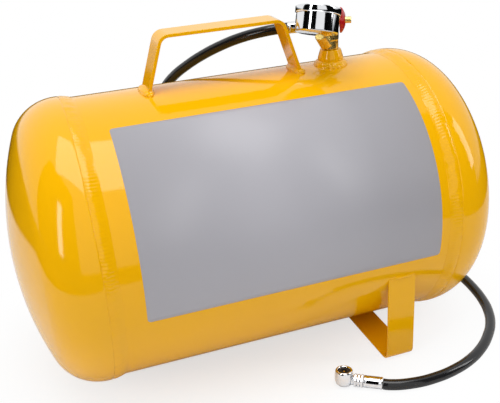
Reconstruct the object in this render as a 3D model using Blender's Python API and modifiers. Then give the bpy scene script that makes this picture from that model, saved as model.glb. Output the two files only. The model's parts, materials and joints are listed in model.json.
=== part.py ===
"""Portable air receiver tank with a carry handle, a brass manifold and a tyre-inflation hose.

Metres, +Z up. The tank lies along X. The origin is on the floor, under the middle of the tank.
The bottom of the head skirts and of the foot strap are at z = 0.
"""
import math

import bmesh
import bpy
from mathutils import Matrix, Vector

# ---------------------------------------------------------------- driving dimensions
GAP = 0.0003                # running gap between neighbouring pieces
SIDES = 40                  # sides of the turned tank pieces

# Tank
SHELL_R = 0.125             # outer radius of the rolled shell
SHELL_WALL = 0.002
SEAM_X = 0.1546             # edge of each head skirt, from the middle of the tank
SHELL_LAP = 0.005           # how far the shell reaches into each head
HEAD_WALL = 0.002
HEAD_SKIRT = 0.003          # straight part of the head
KNUCKLE_R = 0.044           # small radius of the dished head
CROWN_R = 0.265             # large radius of the dished head
BEAD_WIDTH = 0.0115         # weld bead beside the head skirt
BEAD_BULGE = 0.0006

# Carry handle, bent from flat bar
HANDLE_X = -0.014           # middle of the handle
HANDLE_HEIGHT = 0.0486      # outer face of the top bar above the crest of the shell
HANDLE_BASE_HALF = 0.0690   # half width at the crest, to the middle of the bar
HANDLE_TOP_HALF = 0.0540    # half width at the top
HANDLE_WIDTH = 0.025
HANDLE_THICK = 0.003
HANDLE_BEND_R = 0.0085
HANDLE_WELD = 0.0052        # reach of the fillet weld from the bar

# Foot, bent from flat strip
FOOT_X = 0.1018
FOOT_WIDTH = 0.0263
FOOT_HALF = 0.1175          # half width, to the middle of the strip
FOOT_BEND_R = 0.008
FOOT_WELD = 0.0036           # half thickness of the weld on the leg's outer face

# Welded bung
BUNG_X = 0.0897
BUNG_R = 0.0115
BUNG_TOP_R = 0.0095
BUNG_BORE_R = 0.0058
BUNG_HEIGHT = 0.014         # above the crest of the shell
BUNG_TAPER = 0.0075         # height of the part that narrows to the top
BUNG_WELD = 0.0045

# Manifold body: heights are above the crest of the shell
COLUMN_R = 0.0072
HUB_BOTTOM = 0.0225
HUB_TOP = 0.0470
HUB_FLATS = 0.0150
PASSAGE_R = 0.0025          # air passage up the column
BRANCH_R = 0.0018           # passages to the hose, the gauge and the relief valve
THREAD_R = 0.0040           # male threads of everything screwed into the hub
THREAD_START = 0.0062       # distance of their inner ends from the hub's axis
PORT_R = 0.0066
PORT_REACH = 0.0095
VALVE_HEIGHT = 0.0395
VALVE_TURN = -27.0          # direction of the valve's axis about Z, in degrees from +X
VALVE_BORE_R = 0.0032
VALVE_PORT_REACH = 0.0080
HOSE_HEIGHT = 0.0368
HOSE_TURN = 155.0
HOSE_FALL = 4.0             # the hose's port points down by this angle
GAUGE_HEIGHT = 0.0335
GAUGE_TURN = -132.6
GAUGE_RISE = 21.0           # the gauge's stem climbs at this angle
RELIEF_HEIGHT = 0.0400
RELIEF_TURN = 75.0
LOBE_R = 0.0055             # cast lobe that grows out of the column under the gauge
LOBE_TURN = -153.0
LOBE_LOW = (0.0057, 0.0182)     # distance from the hub's axis and height of its lower end
LOBE_HIGH = (0.0139, 0.0290)

# Pressure gauge: x, y, z of its own frame are right, up and out of the dial
GAUGE_REACH = 0.0370        # hub's axis to the middle of the dial
CASE_R = 0.0187
CASE_WALL = 0.0010
CASE_BACK = -0.0110
CASE_FRONT = 0.0058
CASE_EDGE_R = 0.0015
BEZEL_WALL = 0.00075
BEZEL_START = 0.0046
BEZEL_LIP_R = 0.0168
BEZEL_LIP = 0.0012
BEZEL_FRONT = 0.0108
DIAL_THICK = 0.0006
LENS_THICK = 0.0010
SOCKET_FLATS = 0.0120
SOCKET_NECK_R = 0.0042
TUBE_R = 0.0012
TUBE_BEND_R = 0.0115
MOVEMENT_R = 0.0009
POINTER_LENGTH = 0.0135
POINTER_TAIL = 0.0045
POINTER_HUB_R = 0.0017
POINTER_REST = 135.0        # turn of the pointer about the dial from straight up

# Shut-off valve with its knob; distances run out from the hub's axis
PLUG_INNER = -0.0046
PLUG_OUTER = 0.0025
PLUG_BORE_R = 0.0013
NOSE_R = 0.0010
BONNET_FLATS = 0.0110
BONNET_OUTER = 0.0102
SPINDLE_R = 0.0022
SPINDLE_END_R = 0.0029
SPINDLE_END = 0.0188
KNOB_R = 0.0114
KNOB_INNER = 0.0087
KNOB_SHOULDER = 0.0112
KNOB_NOSE = 0.0136
KNOB_NOSE_R = 0.0052
KNOB_WALL = 0.0018
FILL_BORE_R = 0.0019
FILL_BORE_DEPTH = 0.0055
FILL_CORE_BORE_R = 0.0010
FILL_PIN_R = 0.0006

# Relief valve; distances run out from the hub's axis
RELIEF_FLATS = 0.0120
RELIEF_HEX_LENGTH = 0.0060
RELIEF_R = 0.0054
RELIEF_BORE_R = 0.0034
RELIEF_END = 0.0265
RELIEF_STEM_R = 0.0010
RELIEF_EYE_R = 0.0021
RELIEF_SPRING_R = 0.0024
RELIEF_WIRE_R = 0.0004
RELIEF_COILS = 4
RELIEF_LIFT = 0.0020        # travel of the stem, which carries its spring along
RING_R = 0.0080
RING_WIRE_R = 0.0008

# Hose, its fittings and the tyre chuck
HOSE_R = 0.0048
FITTING_FLATS = 0.0110
FITTING_HEX_LENGTH = 0.0090
FERRULE_R = 0.0054
FERRULE_LENGTH = 0.0190
CHUCK_FERRULE_LENGTH = 0.0168
CHUCK_HEX_FLATS = 0.0110
CHUCK_HEX_LENGTH = 0.0080
CHUCK_STEM_R = 0.0042
CHUCK_STEM_LENGTH = 0.0048
CHUCK_HEAD_R = 0.0082
CHUCK_HEAD_LENGTH = 0.0150
CHUCK_BORE_R = 0.0052
CHUCK_SEAL_THICK = 0.0030
CHUCK_SEAL_BORE_R = 0.0024
CHUCK_PIN_R = 0.0009
CHUCK_TILT = 84.0           # the head's mouth faces up by this angle

# ---------------------------------------------------------------- sizes that follow
HEAD_R = SHELL_R + GAP + HEAD_WALL
AXIS_Z = HEAD_R             # the head skirts rest on the floor
CREST_Z = AXIS_Z + SHELL_R
BEZEL_R = CASE_R + GAP + BEZEL_WALL
PLUG_R = VALVE_BORE_R - GAP
FOOT_THICK = HEAD_WALL      # the foot's strip is as thick as the head's step
BUNG_TOP_Z = CREST_Z + BUNG_HEIGHT


def along(turn, rise=0.0):
    """Unit vector at an angle about Z from +X, climbing at a second angle."""
    a = math.radians(turn)
    e = math.radians(rise)
    return Vector((math.cos(a) * math.cos(e), math.sin(a) * math.cos(e), math.sin(e)))


VALVE_DIR = along(VALVE_TURN)
HOSE_DIR = along(HOSE_TURN, -HOSE_FALL)
GAUGE_DIR = along(GAUGE_TURN, GAUGE_RISE)
RELIEF_DIR = along(RELIEF_TURN)
UP = Vector((0, 0, 1))


def hub_point(height):
    """Point of the manifold's axis at a height above the crest."""
    return Vector((BUNG_X, 0, CREST_Z + height))


GAUGE_CENTRE = hub_point(GAUGE_HEIGHT) + GAUGE_DIR * GAUGE_REACH
RELIEF_EYE = hub_point(RELIEF_HEIGHT) + RELIEF_DIR * (RELIEF_END + 0.0050)
FERRULE_START = PORT_REACH + GAP + FITTING_HEX_LENGTH + GAP
HOSE_START = FERRULE_START + FERRULE_LENGTH
HOSE_EXIT = hub_point(HOSE_HEIGHT) + HOSE_DIR * (HOSE_START + GAP)
FLOOR_HOSE_Z = HOSE_R + 0.0002

# Points that the middle of the hose passes, from the manifold round the back and the right end
# of the tank to the chuck in front of it.
HOSE_ROUTE = [
    (0.0322, 0.0305, 0.2822), (0.0196, 0.0405, 0.2778), (0.0078, 0.0520, 0.2717),
    (-0.0043, 0.0640, 0.2637), (-0.0165, 0.0770, 0.2544), (-0.0294, 0.0910, 0.2417),
    (-0.0403, 0.1060, 0.2270), (-0.0502, 0.1290, 0.1960), (-0.0560, 0.1440, 0.1550),
    (-0.0570, 0.1490, 0.1100), (-0.0510, 0.1530, 0.0690), (-0.0370, 0.1580, 0.0350),
    (-0.0130, 0.1650, 0.0125), (0.0180, 0.1710, 0.0055), (0.0550, 0.1735, FLOOR_HOSE_Z),
    (0.0950, 0.1700, FLOOR_HOSE_Z), (0.1370, 0.1550, FLOOR_HOSE_Z),
    (0.1770, 0.1270, FLOOR_HOSE_Z), (0.2070, 0.0880, FLOOR_HOSE_Z),
    (0.2240, 0.0420, FLOOR_HOSE_Z), (0.2300, 0.0000, FLOOR_HOSE_Z),
    (0.2285, -0.0400, FLOOR_HOSE_Z), (0.2220, -0.0735, FLOOR_HOSE_Z),
    (0.2090, -0.1035, FLOOR_HOSE_Z), (0.1900, -0.1265, FLOOR_HOSE_Z),
    (0.1665, -0.1450, FLOOR_HOSE_Z), (0.1430, -0.1555, FLOOR_HOSE_Z),
    (0.1200, -0.1607, FLOOR_HOSE_Z), (0.1000, -0.1612, FLOOR_HOSE_Z),
    (0.0840, -0.1587, FLOOR_HOSE_Z),
]
HOSE_STEP = 0.0215          # distance between the tube's points
HOSE_STRAIGHT = 0.0050      # straight stretch in front of each ferrule
HOSE_END = Vector((0.0667, -0.1512, FLOOR_HOSE_Z))
CHUCK_TURN = 146.0          # direction of the chuck about Z
CHUCK_DIR = along(CHUCK_TURN)

# ---------------------------------------------------------------- materials


def paint(name, colour, roughness, metallic):
    material = bpy.data.materials.new(name)
    material.use_nodes = True
    shader = material.node_tree.nodes["Principled BSDF"]
    shader.inputs["Base Color"].default_value = (*colour, 1)
    shader.inputs["Roughness"].default_value = roughness
    shader.inputs["Metallic"].default_value = metallic
    material.diffuse_color = (*colour, 1)
    return material


# ---------------------------------------------------------------- modelling helpers


def axes(origin, out, up=UP):
    """Matrix whose Z runs along out and whose Y is as near to up as it can be."""
    z = Vector(out).normalized()
    y = Vector(up) - z * Vector(up).dot(z)
    if y.length < 1e-6:
        y = Vector((0, 1, 0)) - z * z.y
    y.normalize()
    x = y.cross(z)
    turn = Matrix((x, y, z)).transposed().to_4x4()
    return Matrix.Translation(Vector(origin)) @ turn


def add(name, mesh, where, material=None, collection=None):
    piece = bpy.data.objects.new(name, mesh)
    (collection or PARTS).objects.link(piece)
    piece.matrix_world = where
    if material:
        mesh.materials.append(material)
    if collection is CUTTERS:
        piece.hide_render = True
        piece.display_type = "WIRE"
    return piece


def from_bmesh(name, bm, where, material=None, collection=None):
    mesh = bpy.data.meshes.new(name)
    bm.to_mesh(mesh)
    bm.free()
    return add(name, mesh, where, material, collection)


def turned(name, profile, where, material=None, sides=16, collection=None):
    """Body turned about local Z. The profile is (radius, z) pairs that run down the outside."""
    on_axis = profile[0][0] == 0 and profile[-1][0] == 0
    bm = bmesh.new()
    verts = [bm.verts.new((r, 0, z)) for r, z in profile]
    for a, b in zip(verts, verts[1:]):
        bm.edges.new((a, b))
    if not on_axis:
        bm.edges.new((verts[-1], verts[0]))
    piece = from_bmesh(name, bm, where, material, collection)
    screw = piece.modifiers.new("Turn", "SCREW")
    screw.steps = sides
    screw.render_steps = sides
    screw.use_merge_vertices = True
    screw.merge_threshold = 0.00001
    screw.use_smooth_shade = True
    return piece


def rod(name, radius, low, high, where, material=None, sides=16, collection=None):
    return turned(name, [(0, high), (radius, high), (radius, low), (0, low)], where, material,
                  sides, collection)


def hexagon(name, flats, low, high, where, material=None, collection=None, turn=0.0):
    """Hexagonal bar along local Z, measured across its flats."""
    bm = bmesh.new()
    radius = flats / 2 / math.cos(math.pi / 6)
    bmesh.ops.create_cone(bm, cap_ends=True, segments=6, radius1=radius, radius2=radius,
                          depth=high - low)
    bmesh.ops.rotate(bm, verts=bm.verts, matrix=Matrix.Rotation(math.radians(turn), 3, "Z"))
    bmesh.ops.translate(bm, verts=bm.verts, vec=(0, 0, (low + high) / 2))
    return from_bmesh(name, bm, where, material, collection)


def boolean(piece, other, operation, solver):
    step = piece.modifiers.new(operation.title(), "BOOLEAN")
    step.operation = operation
    step.solver = solver
    step.object = other


def join(piece, *others, solver="EXACT"):
    for other in others:
        boolean(piece, other, "UNION", solver)


def cut(piece, *others, solver="EXACT"):
    for other in others:
        boolean(piece, other, "DIFFERENCE", solver)


def arc(centre, radius, start, end, count):
    """Points on an arc, in degrees, both ends included."""
    points = []
    for i in range(count + 1):
        a = math.radians(start + (end - start) * i / count)
        points.append((centre[0] + radius * math.cos(a), centre[1] + radius * math.sin(a)))
    return points


def rounded(corners, radius, count=6):
    """Open outline whose inner corners are replaced by arcs."""
    points = [Vector(corners[0])]
    for before, corner, after in zip(corners, corners[1:], corners[2:]):
        corner = Vector(corner)
        u = (Vector(before) - corner).normalized()
        v = (Vector(after) - corner).normalized()
        half = u.angle(v) / 2
        centre = corner + (u + v).normalized() * (radius / math.sin(half))
        first = corner + u * (radius / math.tan(half)) - centre
        last = corner + v * (radius / math.tan(half)) - centre
        for i in range(count + 1):
            points.append(centre + first.slerp(last, i / count).normalized() * radius)
    points.append(Vector(corners[-1]))
    return points


def strap(name, outline, width, thickness, where, material=None, collection=None):
    """Flat bar bent along an outline in local XY and centred on it, its width along local Z."""
    bm = bmesh.new()
    rows = []
    for z in (-width / 2, width / 2):
        rows.append([bm.verts.new((p[0], p[1], z)) for p in outline])
    for i in range(len(outline) - 1):
        bm.faces.new((rows[0][i], rows[0][i + 1], rows[1][i + 1], rows[1][i]))
    piece = from_bmesh(name, bm, where, material, collection)
    thicken = piece.modifiers.new("Thickness", "SOLIDIFY")
    thicken.thickness = thickness
    thicken.offset = 0
    thicken.use_even_offset = True
    return piece


def smooth_route(points, step):
    """Points an equal step apart on a centripetal Catmull-Rom curve through the given ones."""
    pts = [Vector(p) for p in points]
    pts = [pts[0] * 2 - pts[1]] + pts + [pts[-1] * 2 - pts[-2]]
    fine = []
    for p0, p1, p2, p3 in zip(pts, pts[1:], pts[2:], pts[3:]):
        t0 = 0.0
        t1 = t0 + math.sqrt((p1 - p0).length)
        t2 = t1 + math.sqrt((p2 - p1).length)
        t3 = t2 + math.sqrt((p3 - p2).length)
        for i in range(32):
            t = t1 + (t2 - t1) * i / 32
            a1 = p0.lerp(p1, (t - t0) / (t1 - t0))
            a2 = p1.lerp(p2, (t - t1) / (t2 - t1))
            a3 = p2.lerp(p3, (t - t2) / (t3 - t2))
            b1 = a1.lerp(a2, (t - t0) / (t2 - t0))
            b2 = a2.lerp(a3, (t - t1) / (t3 - t1))
            fine.append(b1.lerp(b2, (t - t1) / (t2 - t1)))
    fine.append(pts[-2])
    lengths = [0.0]
    for a, b in zip(fine, fine[1:]):
        lengths.append(lengths[-1] + (b - a).length)
    count = max(2, round(lengths[-1] / step))
    result = []
    k = 0
    for i in range(count + 1):
        wanted = lengths[-1] * i / count
        while k < len(fine) - 2 and lengths[k + 1] < wanted:
            k += 1
        share = (wanted - lengths[k]) / (lengths[k + 1] - lengths[k])
        result.append(fine[k].lerp(fine[k + 1], share))
    return result


def tube(name, points, radius, where, material, sides_setting=2, cyclic=False):
    """Round wire or tube along points."""
    curve = bpy.data.curves.new(name, "CURVE")
    curve.dimensions = "3D"
    curve.bevel_depth = radius
    curve.bevel_resolution = sides_setting
    curve.use_fill_caps = not cyclic
    spline = curve.splines.new("POLY")
    spline.points.add(len(points) - 1)
    for point, place in zip(spline.points, points):
        point.co = (*place, 1)
    spline.use_cyclic_u = cyclic
    curve.materials.append(material)
    piece = bpy.data.objects.new(name, curve)
    PARTS.objects.link(piece)
    piece.matrix_world = where
    return piece


# ---------------------------------------------------------------- start
for old in list(bpy.data.objects):
    bpy.data.objects.remove(old, do_unlink=True)
PARTS = bpy.data.collections.new("air_receiver_tank")
CUTTERS = bpy.data.collections.new("cutters")
bpy.context.scene.collection.children.link(PARTS)
bpy.context.scene.collection.children.link(CUTTERS)

YELLOW = paint("yellow_paint", (0.90, 0.44, 0.01), 0.25, 0.0)
WELD = paint("painted_weld", (0.88, 0.42, 0.01), 0.35, 0.0)
BRASS = paint("brass", (0.75, 0.55, 0.22), 0.25, 1.0)
CHROME = paint("chrome", (0.80, 0.80, 0.82), 0.08, 1.0)
STEEL = paint("steel", (0.55, 0.55, 0.56), 0.35, 1.0)
DIAL = paint("dial_white", (0.90, 0.90, 0.88), 0.5, 0.0)
LENS = paint("lens", (0.95, 0.97, 0.98), 0.05, 0.0)
BLACK = paint("black_enamel", (0.02, 0.02, 0.02), 0.4, 0.0)
RED = paint("red_plastic", (0.60, 0.01, 0.02), 0.3, 0.0)
RUBBER = paint("hose_rubber", (0.02, 0.02, 0.02), 0.45, 0.0)
SEAL = paint("seal_rubber", (0.03, 0.03, 0.03), 0.7, 0.0)

TANK_AXES = axes((0, 0, AXIS_Z), (1, 0, 0))
TANK_AXES_LEFT = axes((0, 0, AXIS_Z), (-1, 0, 0))
UPRIGHT = axes((BUNG_X, 0, CREST_Z), UP)

# Space that the shell takes, for coping what is welded to it
shell_space = rod("shell_space", SHELL_R + GAP, -SEAM_X, SEAM_X, TANK_AXES, sides=SIDES,
                  collection=CUTTERS)

# ---------------------------------------------------------------- shell
shell_end = SEAM_X + SHELL_LAP
shell = turned("tank_shell", [(SHELL_R, shell_end), (SHELL_R, -shell_end),
                              (SHELL_R - SHELL_WALL, -shell_end),
                              (SHELL_R - SHELL_WALL, shell_end)], TANK_AXES, YELLOW, SIDES)
cut(shell, rod("shell_hole", BUNG_BORE_R, -0.01, 0.01, UPRIGHT, collection=CUTTERS))

# ---------------------------------------------------------------- dished heads


def dish(outer_r, knuckle, crown, count_knuckle, count_crown):
    """Half outline of a dished head from its apex to its rim; z = 0 at the skirt's edge."""
    drop = math.sqrt((crown - knuckle) ** 2 - (outer_r - knuckle) ** 2)
    crown_z = HEAD_SKIRT - drop
    meet = math.degrees(math.asin((outer_r - knuckle) / (crown - knuckle)))
    points = arc((0, crown_z), crown, 90, 90 - meet, count_crown)
    points[0] = (0, crown_z + crown)
    points += arc((outer_r - knuckle, HEAD_SKIRT), knuckle, 90 - meet, 0, count_knuckle)[1:]
    return points


outer = dish(HEAD_R, KNUCKLE_R, CROWN_R, 6, 3)
inner = dish(HEAD_R - HEAD_WALL, KNUCKLE_R - HEAD_WALL, CROWN_R - HEAD_WALL, 4, 2)
head_profile = outer + [(HEAD_R, 0), (HEAD_R - HEAD_WALL, 0)] + inner[::-1]
for side, where in (("right", TANK_AXES), ("left", TANK_AXES_LEFT)):
    profile = [(r, z + SEAM_X) for r, z in head_profile]
    turned("head_" + side, profile, where, YELLOW, SIDES)
    low = SEAM_X - BEAD_WIDTH
    high = SEAM_X - GAP
    base = SHELL_R + GAP
    middle = ((base + HEAD_R) / 2 + BEAD_BULGE, (low + high) / 2)
    turned("seam_weld_" + side, [(HEAD_R - GAP, high), middle, (base + GAP, low), (base, low),
                                 (base, high)], where, WELD, SIDES)

# ---------------------------------------------------------------- handle
lean = (HANDLE_BASE_HALF - HANDLE_TOP_HALF) / HANDLE_HEIGHT
root = 0.004                # the bar starts this far below the crest, and is then coped
handle_top = HANDLE_HEIGHT - HANDLE_THICK / 2
handle_corners = [(-HANDLE_BASE_HALF - lean * root, -root), (-HANDLE_TOP_HALF, handle_top),
                  (HANDLE_TOP_HALF, handle_top), (HANDLE_BASE_HALF + lean * root, -root)]
handle_outline = rounded(handle_corners, HANDLE_BEND_R)
HANDLE_AXES = axes((HANDLE_X, 0, CREST_Z), (0, -1, 0))
handle = strap("carry_handle", handle_outline, HANDLE_WIDTH, HANDLE_THICK, HANDLE_AXES, YELLOW)
cut(handle, shell_space)
handle_space = strap("handle_space", handle_outline, HANDLE_WIDTH + 2 * GAP,
                     HANDLE_THICK + 2 * GAP, HANDLE_AXES, collection=CUTTERS)


def fillet_weld(name, middle, out, half_sizes, *spaces):
    """Lump of weld about a joint, with the welded pieces cut out of it."""
    bm = bmesh.new()
    bmesh.ops.create_uvsphere(bm, u_segments=16, v_segments=8, radius=1)
    bmesh.ops.scale(bm, verts=bm.verts, vec=half_sizes)
    weld = from_bmesh(name, bm, axes(middle, out), WELD)
    cut(weld, *spaces)
    return weld


for side, sign in (("left", -1), ("right", 1)):
    middle = (HANDLE_X + sign * HANDLE_BASE_HALF, 0, CREST_Z)
    reach = HANDLE_THICK / 2 + HANDLE_WELD
    fillet_weld("handle_weld_" + side, middle, (1, 0, 0),
                (HANDLE_WIDTH / 2 + HANDLE_WELD, HANDLE_WELD, reach), shell_space, handle_space)

# ---------------------------------------------------------------- foot
FOOT_AXES = axes((FOOT_X, 0, 0), (1, 0, 0))
leg_end = AXIS_Z - math.sqrt((SHELL_R + GAP) ** 2 - (FOOT_HALF + FOOT_THICK / 2) ** 2)
foot_corners = [(-FOOT_HALF, leg_end), (-FOOT_HALF, FOOT_THICK / 2), (FOOT_HALF, FOOT_THICK / 2),
                (FOOT_HALF, leg_end)]
foot_outline = rounded(foot_corners, FOOT_BEND_R)
foot = strap("foot_strap", foot_outline, FOOT_WIDTH, FOOT_THICK, FOOT_AXES, YELLOW)
cut(foot, shell_space)
foot_space = strap("foot_space", foot_outline, FOOT_WIDTH + 2 * GAP, FOOT_THICK + 2 * GAP,
                   FOOT_AXES, collection=CUTTERS)
for side, sign in (("front", -1), ("back", 1)):
    middle = (FOOT_X, sign * (FOOT_HALF - FOOT_THICK / 2 + FOOT_WELD), leg_end + FOOT_WELD / 4)
    fillet_weld("foot_weld_" + side, middle, (0, 0, 1),
                (FOOT_WIDTH / 2, FOOT_WELD, FOOT_WELD * 2), shell_space, foot_space)

# ---------------------------------------------------------------- bung
bung_low = -0.006
bung = turned("bung", [(BUNG_TOP_R, BUNG_HEIGHT), (BUNG_R, BUNG_HEIGHT - BUNG_TAPER),
                       (BUNG_R, bung_low), (BUNG_BORE_R, bung_low), (BUNG_BORE_R, BUNG_HEIGHT)],
              UPRIGHT, YELLOW, 24)
cut(bung, shell_space)
bung_space = rod("bung_space", BUNG_R + GAP, bung_low, BUNG_HEIGHT, UPRIGHT, sides=24,
                 collection=CUTTERS)
weld_r = BUNG_R + GAP + BUNG_WELD
bung_weld = turned("bung_weld", [(0, BUNG_WELD), (BUNG_R + 0.001, BUNG_WELD),
                                 (weld_r - 0.001, 0.001), (weld_r, bung_low), (0, bung_low)],
                   UPRIGHT, WELD, 24)
cut(bung_weld, shell_space, bung_space)

# ---------------------------------------------------------------- manifold body
nipple_r = BUNG_BORE_R - GAP
seat = BUNG_HEIGHT + GAP
manifold = turned("manifold_body", [(0, HUB_BOTTOM + 0.002), (COLUMN_R, HUB_BOTTOM + 0.002),
                                    (COLUMN_R, seat), (nipple_r, seat), (nipple_r, 0.003),
                                    (0, 0.003)], UPRIGHT, BRASS, 16)
join(manifold, hexagon("hub", HUB_FLATS, HUB_BOTTOM, HUB_TOP, UPRIGHT, turn=VALVE_TURN,
                       collection=CUTTERS))


def port_axes(height, out):
    return axes(hub_point(height), out)


VALVE_AXES = port_axes(VALVE_HEIGHT, VALVE_DIR)
HOSE_AXES = port_axes(HOSE_HEIGHT, HOSE_DIR)
STEM_AXES = port_axes(GAUGE_HEIGHT, GAUGE_DIR)
RELIEF_AXES = port_axes(RELIEF_HEIGHT, RELIEF_DIR)
lobe_low = hub_point(LOBE_LOW[1]) + along(LOBE_TURN) * LOBE_LOW[0]
lobe_high = hub_point(LOBE_HIGH[1]) + along(LOBE_TURN) * LOBE_HIGH[0]
lobe_axes = axes(lobe_low, lobe_high - lobe_low)
join(manifold,
     rod("valve_port", PORT_R, 0, VALVE_PORT_REACH, VALVE_AXES, collection=CUTTERS),
     rod("hose_port", PORT_R, 0, PORT_REACH, HOSE_AXES, collection=CUTTERS),
     rod("gauge_port", PORT_R, 0, PORT_REACH, STEM_AXES, collection=CUTTERS),
     rod("relief_port", PORT_R, 0, PORT_REACH, RELIEF_AXES, collection=CUTTERS),
     rod("lobe", LOBE_R, 0, (lobe_high - lobe_low).length, lobe_axes, collection=CUTTERS))
thread_hole = THREAD_R + GAP
hole_start = THREAD_START - GAP
past = 0.004                # cutters reach this far past a port's face
cut(manifold,
    rod("column_bore", PASSAGE_R, 0, VALVE_HEIGHT, UPRIGHT, sides=16, collection=CUTTERS),
    rod("valve_bore", VALVE_BORE_R, PLUG_INNER - GAP, VALVE_PORT_REACH + past, VALVE_AXES,
        collection=CUTTERS),
    rod("hose_bore", BRANCH_R, 0, PORT_REACH + past, HOSE_AXES, sides=16, collection=CUTTERS),
    rod("gauge_bore", BRANCH_R, 0, PORT_REACH + past, STEM_AXES, sides=16, collection=CUTTERS),
    rod("relief_bore", BRANCH_R, 0, PORT_REACH + past, RELIEF_AXES, sides=16,
        collection=CUTTERS),
    rod("hose_thread", thread_hole, hole_start, PORT_REACH + past, HOSE_AXES,
        collection=CUTTERS),
    rod("gauge_thread", thread_hole, hole_start, PORT_REACH + past, STEM_AXES,
        collection=CUTTERS),
    rod("relief_thread", thread_hole, hole_start, PORT_REACH + past, RELIEF_AXES,
        collection=CUTTERS),
    rod("gauge_face", SOCKET_FLATS, PORT_REACH, PORT_REACH * 2, STEM_AXES, collection=CUTTERS),
    solver="MANIFOLD")       # the crossing bores are more than the exact solver can close

# ---------------------------------------------------------------- pressure gauge
dial_out = (UP - GAUGE_DIR * UP.dot(GAUGE_DIR)).normalized()
GAUGE_AXES = axes(GAUGE_CENTRE, dial_out, GAUGE_DIR)
DOWN_STEM = axes(GAUGE_CENTRE, -GAUGE_DIR)
case_inner = CASE_R - CASE_WALL
case = turned("gauge_case", [
    (0, CASE_BACK + CASE_WALL), (case_inner, CASE_BACK + CASE_WALL), (case_inner, CASE_FRONT),
    (CASE_R, CASE_FRONT), *arc((CASE_R - CASE_EDGE_R, CASE_BACK + CASE_EDGE_R), CASE_EDGE_R,
                               0, -90, 3), (0, CASE_BACK)], GAUGE_AXES, CHROME, 28)
cut(case, rod("case_hole", SOCKET_NECK_R + GAP, case_inner - 0.003, CASE_R + 0.003, DOWN_STEM,
              collection=CUTTERS))
bezel_inner = BEZEL_R - BEZEL_WALL
lip_under = BEZEL_FRONT - BEZEL_LIP
turned("gauge_bezel", [
    (BEZEL_LIP_R, BEZEL_FRONT), (BEZEL_R - 0.0008, BEZEL_FRONT), (BEZEL_R, BEZEL_FRONT - 0.0008),
    (BEZEL_R, BEZEL_START), (bezel_inner, BEZEL_START), (bezel_inner, lip_under),
    (BEZEL_LIP_R, lip_under)], GAUGE_AXES, CHROME, 28)
disc_r = bezel_inner - GAP
dial_low = CASE_FRONT + GAP
dial_high = dial_low + DIAL_THICK
turned("gauge_dial", [(disc_r, dial_high), (disc_r, dial_low), (MOVEMENT_R + GAP, dial_low),
                      (MOVEMENT_R + GAP, dial_high)], GAUGE_AXES, DIAL, 28)
lens_high = lip_under - GAP
rod("gauge_lens", disc_r, lens_high - LENS_THICK, lens_high, GAUGE_AXES, LENS, 28)
pointer_low = dial_high + 0.0007
spindle_top = pointer_low - GAP
movement = turned("gauge_movement", [
    (0, spindle_top), (MOVEMENT_R, spindle_top), (MOVEMENT_R, -0.001), (0.0055, -0.001),
    (0.0055, -0.0045), (0.0030, -0.0045), (0.0030, CASE_BACK + CASE_WALL + GAP),
    (0, CASE_BACK + CASE_WALL + GAP)], GAUGE_AXES, BRASS, 20)
bm = bmesh.new()
tip = bm.verts.new((0, POINTER_LENGTH, 0))
tail_left = bm.verts.new((-0.0011, -POINTER_TAIL, 0))
tail_right = bm.verts.new((0.0011, -POINTER_TAIL, 0))
bm.faces.new((tip, tail_left, tail_right))
pointer_rest = Matrix.Rotation(math.radians(POINTER_REST), 4, "Z")
blade = from_bmesh("pointer_blade", bm,
                   GAUGE_AXES @ pointer_rest @ Matrix.Translation((0, 0, pointer_low)),
                   collection=CUTTERS)
thicken = blade.modifiers.new("Thickness", "SOLIDIFY")
thicken.thickness = 0.0005
thicken.offset = 1
pointer = rod("gauge_pointer", POINTER_HUB_R, pointer_low, pointer_low + 0.0009, GAUGE_AXES,
              BLACK, 20)
join(pointer, blade)
case_face = CASE_R + 0.0012
hex_end = GAUGE_REACH - PORT_REACH - GAP
socket = rod("gauge_socket", SOCKET_NECK_R, 0.0095, case_face + 0.001, DOWN_STEM, BRASS)
join(socket,
     hexagon("socket_hex", SOCKET_FLATS, case_face, hex_end, DOWN_STEM, collection=CUTTERS),
     rod("socket_thread", THREAD_R, hex_end - 0.001, GAUGE_REACH - THREAD_START, DOWN_STEM,
         collection=CUTTERS))
cut(socket, rod("socket_bore", 0.0014, 0.0120, GAUGE_REACH, DOWN_STEM, sides=12,
                collection=CUTTERS))
tube_points = [(x, y, 0.0) for x, y in arc((0, 0), TUBE_BEND_R, -64, 200, 20)]
tube("bourdon_tube", tube_points, TUBE_R, GAUGE_AXES, BRASS)

# ---------------------------------------------------------------- shut-off valve and fill valve
plug = turned("valve_plug", [
    (0, PLUG_INNER + 0.0016), (PLUG_BORE_R, PLUG_INNER + 0.0016), (PLUG_BORE_R, PLUG_OUTER),
    (PLUG_R, PLUG_OUTER), (PLUG_R, PLUG_INNER), (0, PLUG_INNER)], VALVE_AXES, BRASS, 20)
bonnet_seat = VALVE_PORT_REACH + GAP
bonnet_bore = SPINDLE_R + GAP
bonnet = turned("valve_bonnet", [
    (VALVE_BORE_R - GAP, bonnet_seat + 0.001), (VALVE_BORE_R - GAP, 0.0058),
    (bonnet_bore, 0.0058), (bonnet_bore, bonnet_seat + 0.001)], VALVE_AXES, BRASS, 16)
collar = hexagon("bonnet_hex", BONNET_FLATS, bonnet_seat, BONNET_OUTER, VALVE_AXES,
                 collection=CUTTERS)
cut(collar, rod("bonnet_hole", bonnet_bore, 0, SPINDLE_END, VALVE_AXES, collection=CUTTERS))
join(bonnet, collar)
knob_bore = SPINDLE_END_R + GAP
spindle_shoulder = BONNET_OUTER + GAP
fill_floor = SPINDLE_END - FILL_BORE_DEPTH
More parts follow.
